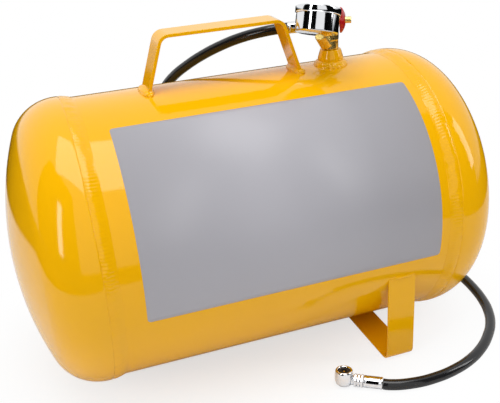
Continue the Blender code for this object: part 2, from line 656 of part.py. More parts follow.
spindle = turned("valve_spindle", [
    (0, fill_floor), (FILL_BORE_R, fill_floor), (FILL_BORE_R, SPINDLE_END),
    (SPINDLE_END_R - 0.0004, SPINDLE_END), (SPINDLE_END_R, SPINDLE_END - 0.0004),
    (SPINDLE_END_R, spindle_shoulder), (SPINDLE_R, spindle_shoulder), (SPINDLE_R, 0.0052),
    (NOSE_R, 0.0052), (NOSE_R, 0), (0, 0)], VALVE_AXES, BRASS, 16)
knob = turned("control_knob", [
    (KNOB_NOSE_R - 0.0008, KNOB_NOSE), (KNOB_NOSE_R, KNOB_NOSE - 0.0005),
    (KNOB_R - 0.0012, KNOB_SHOULDER), (KNOB_R, KNOB_SHOULDER - 0.0012), (KNOB_R, KNOB_INNER),
    (KNOB_R - KNOB_WALL, KNOB_INNER), (KNOB_R - KNOB_WALL, BONNET_OUTER + GAP),
    (knob_bore, BONNET_OUTER + GAP), (knob_bore, KNOB_NOSE)], VALVE_AXES, RED, 20)
core_low = fill_floor + GAP + 0.0008
core_high = SPINDLE_END - 0.0006
turned("fill_valve_core", [
    (FILL_BORE_R - GAP, core_high), (FILL_BORE_R - GAP, core_low),
    (FILL_CORE_BORE_R, core_low), (FILL_CORE_BORE_R, core_high)], VALVE_AXES, STEEL, 16)
rod("fill_valve_pin", FILL_PIN_R, core_low + 0.0013, SPINDLE_END - 0.0002, VALVE_AXES, BRASS, 12)

# ---------------------------------------------------------------- relief valve
relief_seat = PORT_REACH + GAP
hex_top = relief_seat + RELIEF_HEX_LENGTH
cavity = hex_top - 0.002
body = turned("relief_valve_body", [
    (RELIEF_R, RELIEF_END), (RELIEF_R, relief_seat + 0.001), (THREAD_R, relief_seat + 0.001),
    (THREAD_R, THREAD_START), (0.0014, THREAD_START), (0.0014, cavity),
    (RELIEF_BORE_R, cavity), (RELIEF_BORE_R, RELIEF_END)], RELIEF_AXES, BRASS, 16)
relief_hex = hexagon("relief_hex", RELIEF_FLATS, relief_seat, hex_top, RELIEF_AXES,
                     collection=CUTTERS)
cut(relief_hex, rod("relief_hole", RELIEF_BORE_R, relief_seat - 0.001, hex_top + 0.001,
                    RELIEF_AXES, collection=CUTTERS))
lower_ring = turned("relief_floor", [
    (RELIEF_R - 0.001, cavity), (RELIEF_R - 0.001, relief_seat), (0.0014, relief_seat),
    (0.0014, cavity)], RELIEF_AXES, collection=CUTTERS)
join(relief_hex, lower_ring)
join(body, relief_hex)
cap_bore = RELIEF_STEM_R + GAP
cap_inner = RELIEF_END - 0.0030
turned("relief_cap", [
    (RELIEF_R - 0.0006, RELIEF_END + 0.0018), (RELIEF_R, RELIEF_END + 0.0012),
    (RELIEF_R, RELIEF_END + GAP), (RELIEF_BORE_R - GAP, RELIEF_END + GAP),
    (RELIEF_BORE_R - GAP, cap_inner), (cap_bore, cap_inner), (cap_bore, RELIEF_END + 0.0018)],
    RELIEF_AXES, BRASS, 16)
eye = RELIEF_END + 0.0050
disc_low = cavity + GAP
disc_high = disc_low + 0.0014
stem = turned("relief_stem", [
    (0, eye + 0.0026), (RELIEF_EYE_R - 0.0006, eye + 0.0026), (RELIEF_EYE_R, eye + 0.0020),
    (RELIEF_EYE_R, eye - 0.0026), (RELIEF_STEM_R, eye - 0.0028), (RELIEF_STEM_R, disc_high),
    (RELIEF_BORE_R - GAP, disc_high), (RELIEF_BORE_R - GAP, disc_low), (0, disc_low)],
    RELIEF_AXES, BRASS, 20)
ring_axis = RELIEF_DIR.cross(UP).normalized()
cut(stem, rod("eye_hole", 0.0015, -0.006, 0.006, axes(RELIEF_EYE, ring_axis), sides=16,
              collection=CUTTERS))
spring_low = disc_high + GAP + RELIEF_WIRE_R
spring_high = cap_inner - RELIEF_LIFT - GAP - RELIEF_WIRE_R
spring_points = []
turn_points = 10
for i in range(RELIEF_COILS * turn_points + 1):
    a = 2 * math.pi * i / turn_points
    z = spring_low + (spring_high - spring_low) * i / (RELIEF_COILS * turn_points)
    spring_points.append((RELIEF_SPRING_R * math.cos(a), RELIEF_SPRING_R * math.sin(a), z))
tube("relief_spring", spring_points, RELIEF_WIRE_R, RELIEF_AXES, STEEL, 1)
ring_points = [(x, y, 0.0) for x, y in arc((0, -RING_R), RING_R, 90, 450, 22)[:-1]]
tube("relief_pull_ring", ring_points, RING_WIRE_R, axes(RELIEF_EYE, RELIEF_DIR), STEEL,
     2, cyclic=True)

# ---------------------------------------------------------------- hose fitting, hose and chuck
hose_seat = PORT_REACH + GAP
barb_r = HOSE_R * 0.55
fitting = rod("hose_fitting", THREAD_R, THREAD_START, hose_seat + 0.001, HOSE_AXES, BRASS)
join(fitting,
     hexagon("fitting_hex", FITTING_FLATS, hose_seat, hose_seat + FITTING_HEX_LENGTH, HOSE_AXES,
             collection=CUTTERS),
     rod("fitting_barb", barb_r, hose_seat, HOSE_START - 0.0005, HOSE_AXES,
         collection=CUTTERS))
cut(fitting, rod("fitting_bore", 0.0014, 0, HOSE_START + 0.001, HOSE_AXES, sides=12,
                 collection=CUTTERS))


def ferrule(name, start, length, where):
    """Crimped sleeve, closed on the hose."""
    edge = 0.0005
    turned(name, [(FERRULE_R - edge, start + length), (FERRULE_R, start + length - edge),
                  (FERRULE_R, start + edge), (FERRULE_R - edge, start),
                  (barb_r + GAP, start), (barb_r + GAP, start + length)], where, CHROME, 16)


ferrule("hose_ferrule_tank", FERRULE_START, FERRULE_LENGTH, HOSE_AXES)
route = [HOSE_EXIT + HOSE_DIR * HOSE_STRAIGHT, HOSE_EXIT + HOSE_DIR * 2.5 * HOSE_STRAIGHT]
route += [Vector(p) for p in HOSE_ROUTE]
route += [HOSE_END - CHUCK_DIR * HOSE_STRAIGHT]
hose_points = [HOSE_EXIT] + smooth_route(route, HOSE_STEP) + [HOSE_END]
tube("air_hose", hose_points, HOSE_R, Matrix.Identity(4), RUBBER)

CHUCK_LIFT = FERRULE_R + GAP
chuck_origin = Vector((HOSE_END.x, HOSE_END.y, CHUCK_LIFT))
CHUCK_AXES = axes(chuck_origin + CHUCK_DIR * GAP, CHUCK_DIR)
ferrule("hose_ferrule_chuck", 0, CHUCK_FERRULE_LENGTH, CHUCK_AXES)
hex_low = CHUCK_FERRULE_LENGTH + GAP
hex_high = hex_low + CHUCK_HEX_LENGTH
stem_end = hex_high + CHUCK_STEM_LENGTH
chuck_hex = hexagon("chuck_nipple", CHUCK_HEX_FLATS, hex_low, hex_high, CHUCK_AXES, CHROME)
join(chuck_hex, rod("chuck_barb", barb_r, 0.0005, hex_low + 0.001, CHUCK_AXES,
                    collection=CUTTERS))
cut(chuck_hex, rod("chuck_nipple_bore", 0.0014, -0.001, hex_high + 0.001, CHUCK_AXES, sides=12,
                   collection=CUTTERS))
head_middle = chuck_origin + CHUCK_DIR * (stem_end + CHUCK_HEAD_LENGTH * 0.30)
head_middle.z = CHUCK_HEAD_LENGTH / 2 + GAP
head_out = along(CHUCK_TURN - 90.0, CHUCK_TILT)
HEAD_AXES = axes(head_middle, head_out)
half = CHUCK_HEAD_LENGTH / 2
chuck = turned("chuck_head", [
    (0, half), (CHUCK_HEAD_R - 0.0012, half), (CHUCK_HEAD_R, half - 0.0012),
    (CHUCK_HEAD_R, -half * 0.4), (CHUCK_HEAD_R * 0.72, -half * 0.8), (0, -half)],
    HEAD_AXES, CHROME, 20)
join(chuck, rod("chuck_stem", CHUCK_STEM_R, hex_high + GAP, stem_end + 0.002, CHUCK_AXES,
                collection=CUTTERS))
cut(chuck,
    rod("chuck_mouth", CHUCK_BORE_R + GAP, half - CHUCK_SEAL_THICK - 0.0015, half + past,
        HEAD_AXES, collection=CUTTERS),
    rod("chuck_passage", 0.0020, -half * 0.3, half, HEAD_AXES, sides=16, collection=CUTTERS))
seal_top = half - 0.0008
turned("chuck_seal", [
    (CHUCK_BORE_R, seal_top), (CHUCK_BORE_R, seal_top - CHUCK_SEAL_THICK),
    (CHUCK_SEAL_BORE_R, seal_top - CHUCK_SEAL_THICK), (CHUCK_SEAL_BORE_R, seal_top)],
    HEAD_AXES, SEAL, 16)
rod("chuck_pin", CHUCK_PIN_R, -half * 0.3 + GAP, seal_top - 0.001, HEAD_AXES, BRASS, 12)
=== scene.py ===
"""Portable air receiver tank on a pale studio floor: its looks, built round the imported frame."""
import json
import math

import bmesh
import bpy
from mathutils import Matrix, Vector, noise


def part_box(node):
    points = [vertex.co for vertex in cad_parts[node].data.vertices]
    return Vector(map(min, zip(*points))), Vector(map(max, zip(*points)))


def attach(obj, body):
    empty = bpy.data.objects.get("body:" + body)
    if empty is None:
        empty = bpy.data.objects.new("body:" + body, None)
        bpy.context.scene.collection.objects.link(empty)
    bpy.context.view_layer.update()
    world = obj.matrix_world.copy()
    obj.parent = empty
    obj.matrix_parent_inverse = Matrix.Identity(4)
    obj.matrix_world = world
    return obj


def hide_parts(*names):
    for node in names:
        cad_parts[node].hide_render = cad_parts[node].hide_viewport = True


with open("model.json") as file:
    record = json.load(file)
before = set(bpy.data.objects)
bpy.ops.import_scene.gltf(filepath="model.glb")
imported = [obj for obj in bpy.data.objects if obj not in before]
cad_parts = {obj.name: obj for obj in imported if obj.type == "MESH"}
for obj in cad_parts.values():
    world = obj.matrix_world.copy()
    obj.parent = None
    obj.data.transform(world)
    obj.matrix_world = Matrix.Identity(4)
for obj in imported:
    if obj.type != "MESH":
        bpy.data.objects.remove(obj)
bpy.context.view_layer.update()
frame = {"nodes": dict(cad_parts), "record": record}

# ---------------------------------------------------------------- camera and light
# A long lens looks down on the tank from its left front. The light is a broad overhead panel,
# a tall panel on the left and a low fill on the right, as in a small product studio.
scene = bpy.context.scene
scene.view_settings.view_transform = "Standard"
YAW, PITCH, ROLL = (math.radians(a) for a in (17.9187, 24.5260, -3.5502))
CAMERA_PLACE = (-0.20351, -0.64163, 0.43836)
ahead = Vector((math.sin(YAW) * math.cos(PITCH), math.cos(YAW) * math.cos(PITCH),
                -math.sin(PITCH)))
right = Vector((math.cos(YAW), -math.sin(YAW), 0))
above = right.cross(ahead)
camera_data = bpy.data.cameras.new("camera")
camera_data.lens = 56.14
camera_data.sensor_width = 36
camera = bpy.data.objects.new("camera", camera_data)
side = math.cos(ROLL) * right + math.sin(ROLL) * above
top = -math.sin(ROLL) * right + math.cos(ROLL) * above
camera.matrix_world = (Matrix.Translation(CAMERA_PLACE)
                       @ Matrix((side, top, -ahead)).transposed().to_4x4())
scene.collection.objects.link(camera)
scene.camera = camera


def panel(name, place, aim, width, height, power):
    """Soft rectangular studio light."""
    lamp = bpy.data.lights.new(name, "AREA")
    lamp.shape = "RECTANGLE"
    lamp.size, lamp.size_y, lamp.energy = width, height, power
    light = bpy.data.objects.new(name, lamp)
    out = Vector(place) - Vector(aim)
    light.matrix_world = (Matrix.Translation(place)
                          @ out.to_track_quat("Z", "Y").to_matrix().to_4x4())
    scene.collection.objects.link(light)


panel("overhead_panel", (-0.15, -0.20, 1.55), (0, 0, 0.1), 1.3, 0.9, 14.5)
panel("left_panel", (-1.35, -0.75, 0.75), (0, 0, 0.12), 0.22, 1.0, 5.5)
panel("right_panel", (1.25, -0.65, 0.80), (0, 0, 0.12), 0.28, 0.9, 4.5)


class Value:
    """A socket in a node tree. Sums written with it add the Math nodes they need."""

    def __init__(self, nodes, socket):
        self.nodes, self.socket = nodes, socket

    def maths(self, operation, a, b):
        return self.nodes.node("ShaderNodeMath", {"operation": operation}, {0: a, 1: b})

    def __add__(self, other):
        return self.maths("ADD", self, other)

    def __mul__(self, other):
        return self.maths("MULTIPLY", self, other)

    __radd__, __rmul__ = __add__, __mul__


class Nodes:
    """A node tree. Its node method makes a node, with its settings and what its sockets take."""

    def __init__(self, tree):
        self.tree = tree

    def node(self, kind, settings=None, sockets=None, output=0):
        made = self.tree.nodes.new(kind)
        for name, value in (settings or {}).items():
            setattr(made, name, value)
        for name, value in (sockets or {}).items():
            self.feed(made.inputs[name], value)
        return Value(self, made.outputs[output])

    def feed(self, socket, value):
        if isinstance(value, Value):
            self.tree.links.new(value.socket, socket)
        else:
            socket.default_value = value


class Finish(Nodes):
    """A surface finish: a material whose values that stay the same sit on its shader."""

    def __init__(self, name, colour, roughness, metallic=0.0, **constants):
        self.material = bpy.data.materials.new(name)
        self.material.use_nodes = True
        self.material.diffuse_color = (*colour, 1)
        super().__init__(self.material.node_tree)
        self.shader = self.tree.nodes["Principled BSDF"]
        self.set(Base_Color=(*colour, 1), Roughness=roughness, Metallic=metallic, **constants)

    def place(self):
        return self.node("ShaderNodeTexCoord", output="Object")

    def grain(self, scale, detail=3.0):
        return self.node("ShaderNodeTexNoise", None,
                         {"Vector": self.place(), "Scale": scale, "Detail": detail})

    def blend(self, share, first, second):
        """Colour between two colours."""
        return self.node("ShaderNodeMix", {"data_type": "RGBA"},
                         {0: share, 6: first, 7: second}, output=2)

    def set(self, **values):
        for name, value in values.items():
            self.feed(self.shader.inputs[name.replace("_", " ")], value)

    def bump(self, height, distance, strength):
        self.set(Normal=self.node("ShaderNodeBump", None, {
            "Height": height, "Distance": distance, "Strength": strength}))


# ---------------------------------------------------------------- floor and backdrop
# White studio paper, a flat sheet that goes on behind the tank as far as can be seen. It takes the
# soft shadow under the tank, and whitens with distance until it meets the white backdrop.
world = bpy.data.worlds.new("studio")
scene.world = world
world.use_nodes = True
sky = Nodes(world.node_tree)
sky.tree.nodes.remove(sky.tree.nodes["Background"])
seen = sky.node("ShaderNodeLightPath", output="Is Camera Ray")
for ray in ("Is Glossy Ray", "Is Transmission Ray"):
    seen = seen.maths("MAXIMUM", seen, sky.node("ShaderNodeLightPath", output=ray))
glow = sky.node("ShaderNodeBackground", None, {"Color": (0.95, 0.97, 1.0, 1), "Strength": 0.40})
plain = sky.node("ShaderNodeBackground", None, {"Color": (1, 1, 1, 1), "Strength": 1.0})
either = sky.node("ShaderNodeMixShader", None, {0: seen, 1: glow, 2: plain})
sky.feed(sky.tree.nodes["World Output"].inputs["Surface"], either)

bm = bmesh.new()
bmesh.ops.create_grid(bm, x_segments=1, y_segments=1, size=6)
floor_mesh = bpy.data.meshes.new("floor")
bm.to_mesh(floor_mesh)
bm.free()
floor = bpy.data.objects.new("floor", floor_mesh)
scene.collection.objects.link(floor)
paper = Finish("studio_paper", (0.90, 0.90, 0.90), 0.9, Specular_IOR_Level=0.1)
paper.set(Base_Color=paper.blend(paper.grain(900, 2), (0.89, 0.89, 0.89, 1),
                                 (0.91, 0.91, 0.91, 1)))
spread = paper.node("ShaderNodeVectorMath", {"operation": "LENGTH"},
                    {0: paper.node("ShaderNodeMapping", None,
                                   {"Vector": paper.place(), "Location": (0.02, -0.02, 0),
                                    "Scale": (1.7, 2.3, 1)})}, output=1)
white = paper.node("ShaderNodeEmission", None, {"Color": (1, 1, 1, 1), "Strength": 1.0})
away = paper.node("ShaderNodeMapRange", {"interpolation_type": "SMOOTHSTEP"},
                  {"Value": spread, "From Min": 0.15, "From Max": 0.52, "To Min": 0.66,
                   "To Max": 1.0})
camera_ray = paper.node("ShaderNodeLightPath")
paper.feed(paper.tree.nodes["Material Output"].inputs["Surface"], paper.node(
    "ShaderNodeMixShader", None, {0: away * camera_ray, 1: Value(paper, paper.shader.outputs[0]),
                                  2: white}))
floor_mesh.materials.append(paper.material)

# Two tall black cards stand well out to the left and the right of the camera, and a ring of black
# cloth lies round the tank, so that the enamel and the plated pieces have dark to reflect.
CARD_DISTANCE, CARD_HEIGHT, CARD_LIFT = 2.9, 5.2, 0.01
CLOTH_INNER_R, CLOTH_SPREAD, CLOTH_LIFT = 0.62, 5, 0.001
black_card = Finish("black_card", (0.004, 0.004, 0.004), 0.9, Specular_IOR_Level=0.0)


def reflected_only(name, bm):
    """Black stage piece that shows only in reflections."""
    mesh = bpy.data.meshes.new(name)
    bm.to_mesh(mesh)
    bm.free()
    mesh.materials.append(black_card.material)
    card = bpy.data.objects.new(name, mesh)
    scene.collection.objects.link(card)
    card.visible_camera = card.visible_diffuse = card.visible_shadow = False


for name, turned_by, wide in (("left_card", 203, 4.6), ("right_card", 312, 2.6)):
    out = Vector((math.cos(math.radians(turned_by)), math.sin(math.radians(turned_by)), 0))
    bm = bmesh.new()
    bmesh.ops.create_grid(bm, x_segments=1, y_segments=1, size=0.5)
    bmesh.ops.scale(bm, verts=bm.verts, vec=(wide, CARD_HEIGHT, 1))
    facing = (-out).to_track_quat("Z", "Y").to_matrix().to_4x4()
    middle = out * CARD_DISTANCE + Vector((0, 0, CARD_HEIGHT / 2 + CARD_LIFT))
    bmesh.ops.transform(bm, matrix=Matrix.Translation(middle) @ facing, verts=bm.verts)
    reflected_only(name, bm)
bm = bmesh.new()
bmesh.ops.create_circle(bm, segments=72, radius=CLOTH_INNER_R)
outer = bmesh.ops.extrude_edge_only(bm, edges=bm.edges[:])["geom"]
bmesh.ops.scale(bm, vec=(CLOTH_SPREAD, CLOTH_SPREAD, 1),
                verts=[v for v in outer if isinstance(v, bmesh.types.BMVert)])
bmesh.ops.translate(bm, vec=(0, 0, CLOTH_LIFT), verts=bm.verts)
reflected_only("black_cloth", bm)

# ---------------------------------------------------------------- air hose
# Rubber air hose of 9.6 mm outside diameter, about a metre long. It leaves the brass fitting,
# falls behind the tank and lies round the right end to the chuck in front.
HOSE_POINTS = [
    (0.0550, 0.0162, 0.2864), (0.0505, 0.0183, 0.2861), (0.0329, 0.0300, 0.2824),
    (0.0167, 0.0431, 0.2765), (0.0025, 0.0572, 0.2684), (-0.0111, 0.0711, 0.2588),
    (-0.0238, 0.0847, 0.2477), (-0.0351, 0.0982, 0.2351), (-0.0432, 0.1117, 0.2203),
    (-0.0484, 0.1244, 0.2036), (-0.0524, 0.1343, 0.1848), (-0.0551, 0.1415, 0.1646),
    (-0.0568, 0.1460, 0.1435), (-0.0574, 0.1480, 0.1220), (-0.0563, 0.1499, 0.1004),
    (-0.0533, 0.1519, 0.0791), (-0.0478, 0.1543, 0.0583), (-0.0393, 0.1573, 0.0387),
    (-0.0261, 0.1614, 0.0221), (-0.0086, 0.1660, 0.0105), (0.0122, 0.1702, 0.0062),
    (0.0336, 0.1727, 0.0048), (0.0552, 0.1735, 0.0050), (0.0769, 0.1726, 0.0050),
    (0.0982, 0.1693, 0.0050), (0.1189, 0.1630, 0.0050), (0.1387, 0.1541, 0.0050),
    (0.1572, 0.1429, 0.0050), (0.1742, 0.1296, 0.0050), (0.1892, 0.1139, 0.0050),
    (0.2020, 0.0965, 0.0050), (0.2122, 0.0774, 0.0050), (0.2197, 0.0571, 0.0050),
    (0.2254, 0.0362, 0.0050), (0.2288, 0.0149, 0.0050), (0.2302, -0.0067, 0.0050),
    (0.2296, -0.0284, 0.0050), (0.2272, -0.0499, 0.0050), (0.2227, -0.0710, 0.0050),
    (0.2153, -0.0914, 0.0050), (0.2045, -0.1101, 0.0050), (0.1902, -0.1263, 0.0050),
    (0.1737, -0.1402, 0.0050), (0.1549, -0.1510, 0.0050), (0.1345, -0.1580, 0.0050),
    (0.1131, -0.1613, 0.0050), (0.0915, -0.1603, 0.0050), (0.0708, -0.1540, 0.0050),
    (0.0667, -0.1512, 0.0050),
]
HOSE_R = 0.0048
line = bpy.data.curves.new("air_hose_cover", "CURVE")
line.dimensions = "3D"
line.bevel_depth = HOSE_R
line.bevel_resolution = 7
line.resolution_u = 8
line.use_fill_caps = True
spline = line.splines.new("BEZIER")
spline.bezier_points.add(len(HOSE_POINTS) - 1)
for knot, point in zip(spline.bezier_points, HOSE_POINTS):
    knot.co = point
    knot.handle_left_type = knot.handle_right_type = "AUTO"
hose = bpy.data.objects.new("air_hose_cover", line)
scene.collection.objects.link(hose)
rubber = Finish("hose_rubber", (0.010, 0.010, 0.011), 0.3, Specular_IOR_Level=0.42)
wrap = rubber.grain(260, 4)
scuff = rubber.grain(34, 5)
rubber.set(Base_Color=rubber.blend(scuff, (0.007, 0.007, 0.008, 1), (0.016, 0.016, 0.017, 1)),
           Roughness=scuff * 0.10 + 0.07)
rubber.bump(wrap, 0.0001, 0.10)
line.materials.append(rubber.material)
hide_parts("air_hose")
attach(hose, "tank")

# ---------------------------------------------------------------- shell of the tank
# Rolled steel tube, 2 mm thick, sprayed with glossy yellow enamel. Its ends reach into the two
# heads.
shell_low, shell_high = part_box("tank_shell")
SHELL_R = (shell_high[2] - shell_low[2]) / 2
AXIS_Z = (shell_high[2] + shell_low[2]) / 2
SHELL_END = shell_high[0]
CREST_Z = shell_high[2]
TANK = Matrix.Translation((0, 0, AXIS_Z)) @ Matrix.Rotation(math.radians(90), 4, "Y")


def axes(origin, out, up=(0, 0, 1)):
    """Matrix whose Z runs along out and whose Y is as near to up as it can be."""
    z = Vector(out).normalized()
    y = (Vector(up) - z * Vector(up).dot(z)).normalized()
    return Matrix.Translation(origin) @ Matrix((y.cross(z), y, z)).transposed().to_4x4()


def finished(name, bm, where, finish, body, nodes=(), sharp=35.0):
    """Puts a shape in its place as a piece with smooth shading, sharp only at its edges."""
    bmesh.ops.remove_doubles(bm, verts=bm.verts, dist=1e-6)
    bmesh.ops.recalc_face_normals(bm, faces=bm.faces)
    bmesh.ops.transform(bm, matrix=where, verts=bm.verts)
    mesh = bpy.data.meshes.new(name)
    bm.to_mesh(mesh)
    bm.free()
    mesh.shade_smooth()
    mesh.set_sharp_from_angle(angle=math.radians(sharp))
    mesh.materials.append(finish.material)
    piece = bpy.data.objects.new(name, mesh)
    scene.collection.objects.link(piece)
    if nodes:
        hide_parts(*nodes)
    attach(piece, body)
    return piece


def turn(bm, profile, steps=64, closed=False):
    """Turns (radius, height) pairs about Z. A closed profile is a ring's section."""
    verts = [bm.verts.new((r, 0, z)) for r, z in profile]
    pairs = list(zip(verts, verts[1:]))
    if closed:
        pairs.append((verts[-1], verts[0]))
    edges = [bm.edges.new(pair) for pair in pairs]
    return bmesh.ops.spin(bm, geom=verts + edges, cent=(0, 0, 0), axis=(0, 0, 1),
                          angle=2 * math.pi, steps=steps, use_merge=True)


def enamel(name, peel):
    """Glossy yellow enamel with a faint orange peel."""
    made = Finish(name, (0.88, 0.44, 0.002), 0.08, Specular_IOR_Level=0.34)
    cloud = made.grain(9, 3)
    made.set(Base_Color=made.blend(cloud, (0.87, 0.425, 0.001, 1), (0.90, 0.46, 0.002, 1)),
             Roughness=made.grain(60, 3) * 0.06 + 0.05)
    made.bump(made.grain(420, 2), 0.0002, peel)
    return made


yellow = enamel("yellow_enamel", 0.10)
WALL = 0.002
GAP = 0.0003
bm = bmesh.new()
turn(bm, [(SHELL_R, SHELL_END), (SHELL_R, -SHELL_END), (SHELL_R - WALL, -SHELL_END),
          (SHELL_R - WALL, SHELL_END)], 160, closed=True)
finished("rolled_shell", bm, TANK, yellow, "tank", ["tank_shell"])

# ---------------------------------------------------------------- dished heads
# Two pressed steel heads, sprayed with the shell. Each has a short skirt that fits over the
# shell, a tight knuckle and a shallow crown.
SEAM_X = 0.1546
HEAD_R = AXIS_Z
KNUCKLE_R, CROWN_R, SKIRT = 0.044, 0.265, 0.003


def arc(centre, radius, start, end, count):
    """Points on an arc, in degrees."""
    angles = [math.radians(start + (end - start) * i / count) for i in range(count + 1)]
    return [(centre[0] + radius * math.cos(a), centre[1] + radius * math.sin(a))
            for a in angles]


def dish(radius, knuckle, crown):
    """Half outline of a dished head, from its apex to its skirt."""
    drop = math.sqrt((crown - knuckle) ** 2 - (radius - knuckle) ** 2)
    meet = math.degrees(math.asin((radius - knuckle) / (crown - knuckle)))
    points = arc((0, SEAM_X + SKIRT - drop), crown, 90, 90 - meet, 14)
    points[0] = (0, points[0][1])
    return points + arc((radius - knuckle, SEAM_X + SKIRT), knuckle, 90 - meet, 0, 18)[1:]


outside = dish(HEAD_R, KNUCKLE_R, CROWN_R)
inside = dish(HEAD_R - WALL, KNUCKLE_R - WALL, CROWN_R - WALL)
edge = [(HEAD_R, SEAM_X + 0.0012), (HEAD_R - 0.0001, SEAM_X + 0.0007),
        (HEAD_R - 0.0003, SEAM_X + 0.0003), (HEAD_R - 0.0006, SEAM_X), (HEAD_R - WALL, SEAM_X)]
for end, flip in (("right", 0), ("left", 180)):
    bm = bmesh.new()
    turn(bm, outside + edge + inside[::-1], 160)
    finished("pressed_head_" + end, bm, TANK @ Matrix.Rotation(math.radians(flip), 4, "X"),
             yellow, "tank", ["head_" + end])

# ---------------------------------------------------------------- seam welds
# A bead of weld beside each skirt, laid by machine while the tank turned, and painted over. It
# shows as a band of fine ripples.
BEAD_WIDTH = 0.0115
weld_paint = enamel("weld_enamel", 0.25)
for end, flip in (("right", 0), ("left", 180)):
    base = SHELL_R + GAP
    crown = [(HEAD_R - 0.0003, SEAM_X + 0.0002), (HEAD_R - 0.0001, SEAM_X - 0.0012),
             (HEAD_R - 0.0001, SEAM_X - 0.0028), (HEAD_R - 0.0004, SEAM_X - 0.0046),
             (HEAD_R - 0.0009, SEAM_X - 0.0066), (HEAD_R - 0.0015, SEAM_X - 0.0085),
             (HEAD_R - 0.0020, SEAM_X - 0.0102), (base - 0.0002, SEAM_X - BEAD_WIDTH)]
    bm = bmesh.new()
    turn(bm, crown + [(SHELL_R, SEAM_X - BEAD_WIDTH), (SHELL_R, SEAM_X + 0.0002)],
         900, closed=True)
    for vert in bm.verts:
        r = math.hypot(vert.co.x, vert.co.y)
        if r < base + 0.0001:
            continue
        a = math.atan2(vert.co.y, vert.co.x)
        across = (SEAM_X - vert.co.z) / BEAD_WIDTH
        ripple = math.sin(a * 270 + 2.2 * math.cos(math.pi * (across - 0.4)))
        lump = (noise.noise((vert.co.x * 55, vert.co.y * 55, vert.co.z * 90))
                + 0.8 * noise.noise((vert.co.x * 150, vert.co.y * 150, vert.co.z * 200)))
        r += 0.00014 * ripple + 0.00042 * lump - 0.0002
        vert.co.x, vert.co.y = r * math.cos(a), r * math.sin(a)
        vert.co.z += 0.0005 * lump * across
    finished("rippled_seam_" + end, bm, TANK @ Matrix.Rotation(math.radians(flip), 4, "X"),
             weld_paint, "tank", ["seam_weld_" + end], sharp=60)

# ---------------------------------------------------------------- carry handle
# Flat steel bar, 25 by 3 mm, bent to a bridge and welded across the top of the shell. It is
# painted with the tank.
handle_low, handle_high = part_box("carry_handle")
HANDLE_X = (handle_low[0] + handle_high[0]) / 2
HANDLE_WIDTH = handle_high[1] - handle_low[1]


def bent_bar(name, corners, bend, width, thickness, where, nodes, round_edge=0.0005):
    """Flat bar bent along corners in local XY, centred on them, with its width along Z."""
    bm = bmesh.new()
    verts = [bm.verts.new((x, y, -width / 2)) for x, y in corners]
    for pair in zip(verts, verts[1:]):
        bm.edges.new(pair)
    bmesh.ops.bevel(bm, geom=verts[1:-1], offset=bend, offset_type="OFFSET", segments=12,
                    profile=0.5, affect="VERTICES", material=-1)
    swept = bmesh.ops.extrude_edge_only(bm, edges=bm.edges[:])
    bmesh.ops.translate(bm, vec=(0, 0, width),
                        verts=[v for v in swept["geom"] if isinstance(v, bmesh.types.BMVert)])
    piece = finished(name, bm, where, yellow, "tank", nodes)
    wall = piece.modifiers.new("Thickness", "SOLIDIFY")
    wall.thickness, wall.offset, wall.use_even_offset = thickness, 0, True
    soften = piece.modifiers.new("Rounded edges", "BEVEL")
    soften.width, soften.segments, soften.harden_normals = round_edge, 3, True
    soften.angle_limit = math.radians(50)
    return piece


BASE_HALF, TOP_HALF, HANDLE_RISE, HANDLE_THICK = 0.0690, 0.0540, 0.0486, 0.003
lean = (BASE_HALF - TOP_HALF) / HANDLE_RISE
top_line = HANDLE_RISE - HANDLE_THICK / 2
root = 0.0013
HANDLE_AXES = axes((HANDLE_X, 0, CREST_Z), (0, -1, 0))
bent_bar("handle_bar", [(-BASE_HALF - lean * root, -root), (-TOP_HALF, top_line),
                        (TOP_HALF, top_line), (BASE_HALF + lean * root, -root)],
         0.0063, HANDLE_WIDTH, HANDLE_THICK, HANDLE_AXES, ["carry_handle"])

# ---------------------------------------------------------------- handle welds
# Fillet of hand-laid weld round each end of the bar, lumpy and painted over.


def weld_lump(name, middle, sizes, nodes, seed):
    """Hand-laid weld: a rounded lump with the overlapping beads of the rod in it."""
    bm = bmesh.new()
    bmesh.ops.create_uvsphere(bm, u_segments=96, v_segments=48, radius=1)
    for vert in bm.verts:
        p = vert.co * 2.2
        vert.co *= (0.96 + 0.07 * noise.noise((p.x + seed, p.y, p.z))
                    + 0.02 * math.sin(vert.co.y * 26 + vert.co.x * 4))
    bmesh.ops.scale(bm, vec=sizes, verts=bm.verts)
    return finished(name, bm, Matrix.Translation(middle), weld_paint, "tank", nodes, 80)


for end, sign in (("left", -1), ("right", 1)):
    weld_lump("handle_fillet_" + end, (HANDLE_X + sign * BASE_HALF, 0, CREST_Z - 0.0004),
              (0.0066, 0.0174, 0.0050), ["handle_weld_" + end], sign * 3.7)

# ---------------------------------------------------------------- foot
# One strip of 2 mm steel bent to a U and welded up both sides of the shell at the right end. The
# left end of the tank stands on the skirt of its head.
foot_low, foot_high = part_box("foot_strap")
FOOT_X = (foot_low[0] + foot_high[0]) / 2
FOOT_THICK = 0.002
FOOT_HALF = foot_high[1] - FOOT_THICK / 2
LEG_END = AXIS_Z - math.sqrt((SHELL_R + GAP) ** 2 - foot_high[1] ** 2)
bent_bar("foot_strip", [(-FOOT_HALF, LEG_END), (-FOOT_HALF, FOOT_THICK / 2),
                        (FOOT_HALF, FOOT_THICK / 2), (FOOT_HALF, LEG_END)],
         0.008, foot_high[0] - foot_low[0], FOOT_THICK, axes((FOOT_X, 0, 0), (1, 0, 0)),
         ["foot_strap"])
for end, sign in (("front", -1), ("back", 1)):
    weld_lump("foot_fillet_" + end, (FOOT_X, sign * 0.1180, LEG_END + 0.0006),
              (0.0131, 0.0019, 0.0022), ["foot_weld_" + end], sign * 5.1)

